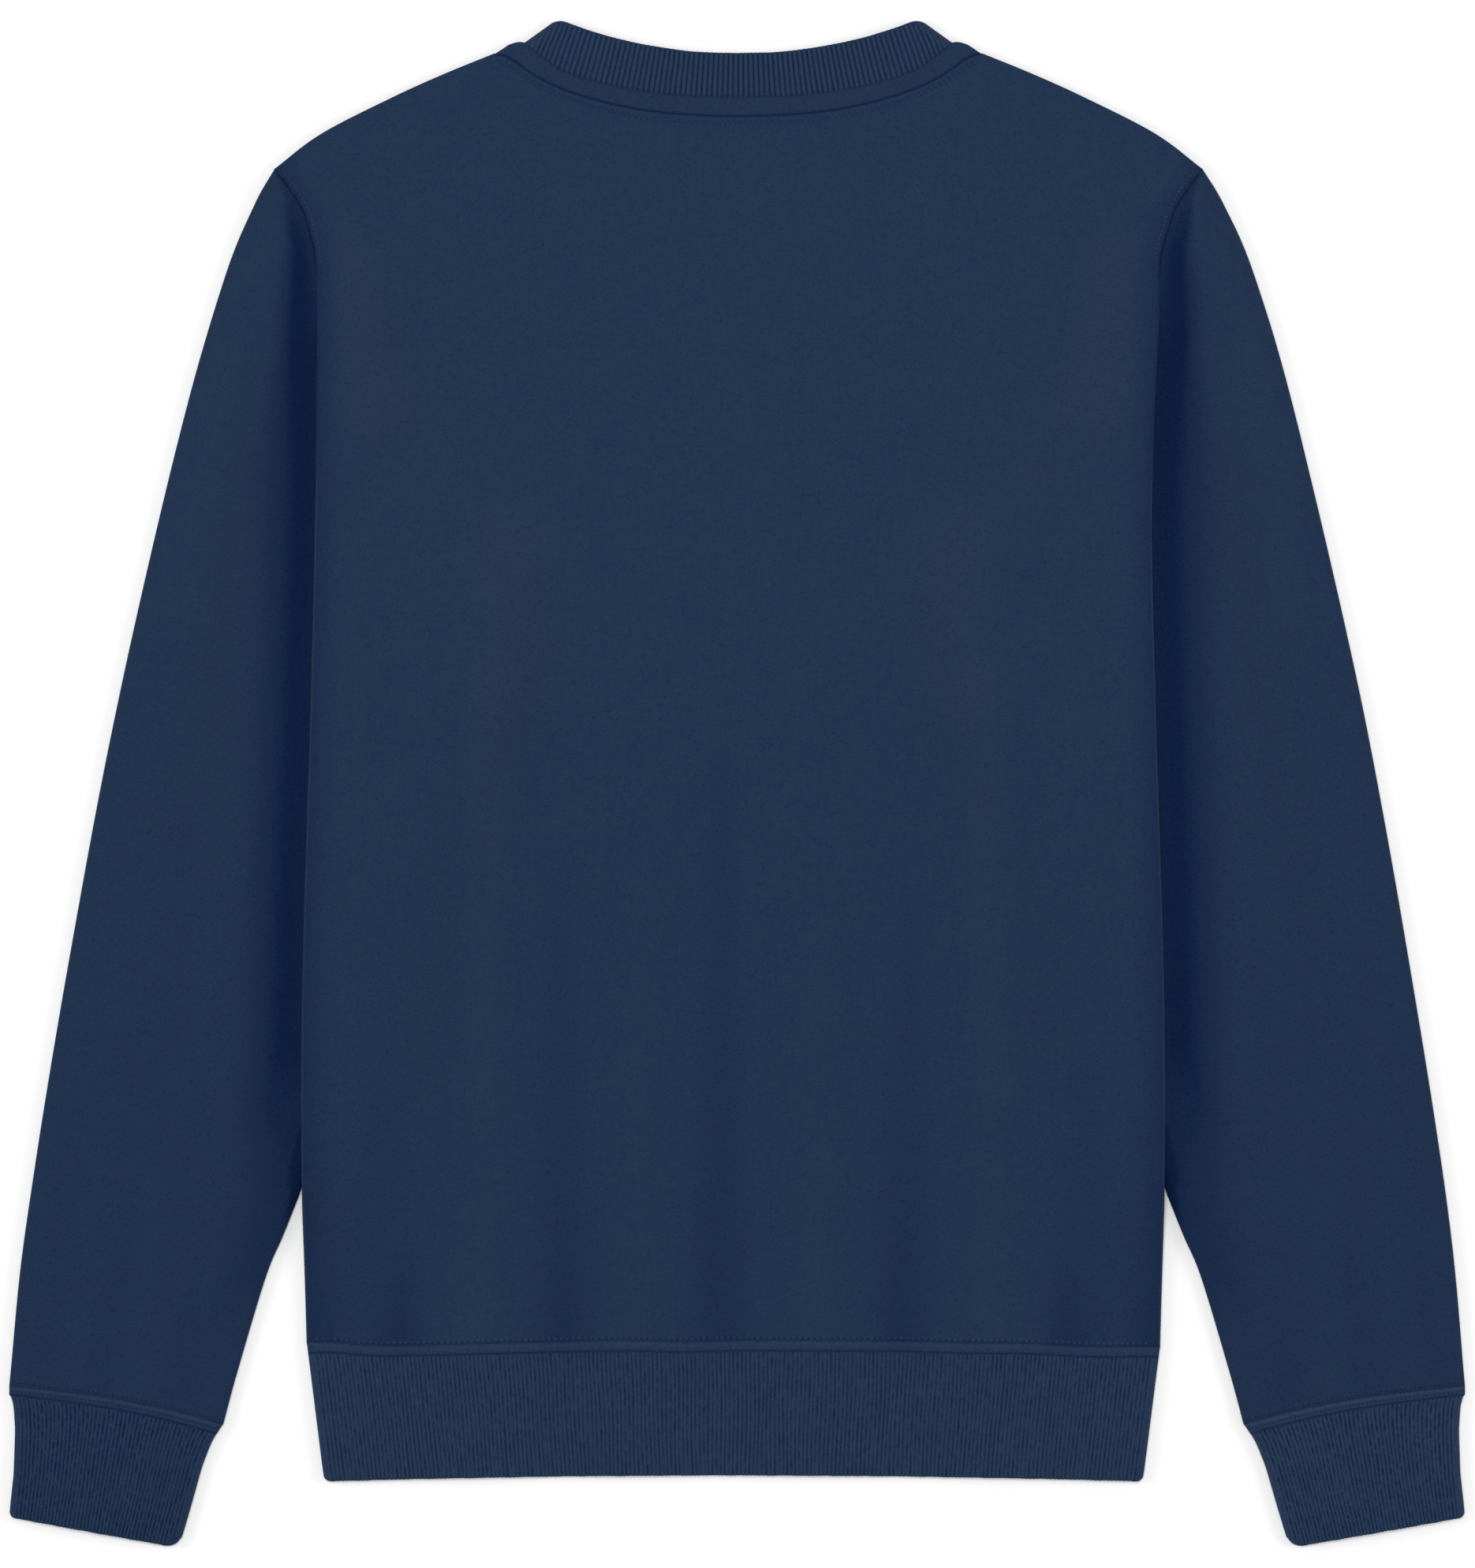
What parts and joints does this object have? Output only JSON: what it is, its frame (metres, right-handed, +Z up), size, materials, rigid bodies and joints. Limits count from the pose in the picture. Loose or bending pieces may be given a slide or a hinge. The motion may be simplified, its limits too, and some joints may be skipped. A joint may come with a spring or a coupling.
{
  "type": "crewneck sweatshirt",
  "caption": "Plain long-sleeved crewneck sweatshirt laid flat with its back upwards, with a rib collar, rib cuffs and a rib hem.",
  "frame": {"origin": "on the floor under the middle of the garment's outline", "axes": "+Y from the hem to the collar, +X to the right-hand sleeve as seen from above, +Z up out of the back panel"},
  "size_m": [0.7066, 0.7421, 0.0096],
  "materials": {
    "fleece": "matt brushed cotton fleece, smooth knit face, navy",
    "neck_band": "matt flat knit strip, navy",
    "rib_knit": "matt one-by-one rib knit, navy"
  },
  "bodies": {
    "root": {"front": "fleece", "back": "fleece", "sleeve_left": "fleece", "sleeve_right": "fleece", "neck_band": "neck_band", "neck_rib": "rib_knit", "hem_rib": "rib_knit", "cuff_left": "rib_knit", "cuff_right": "rib_knit"}
  },
  "joints": []
}
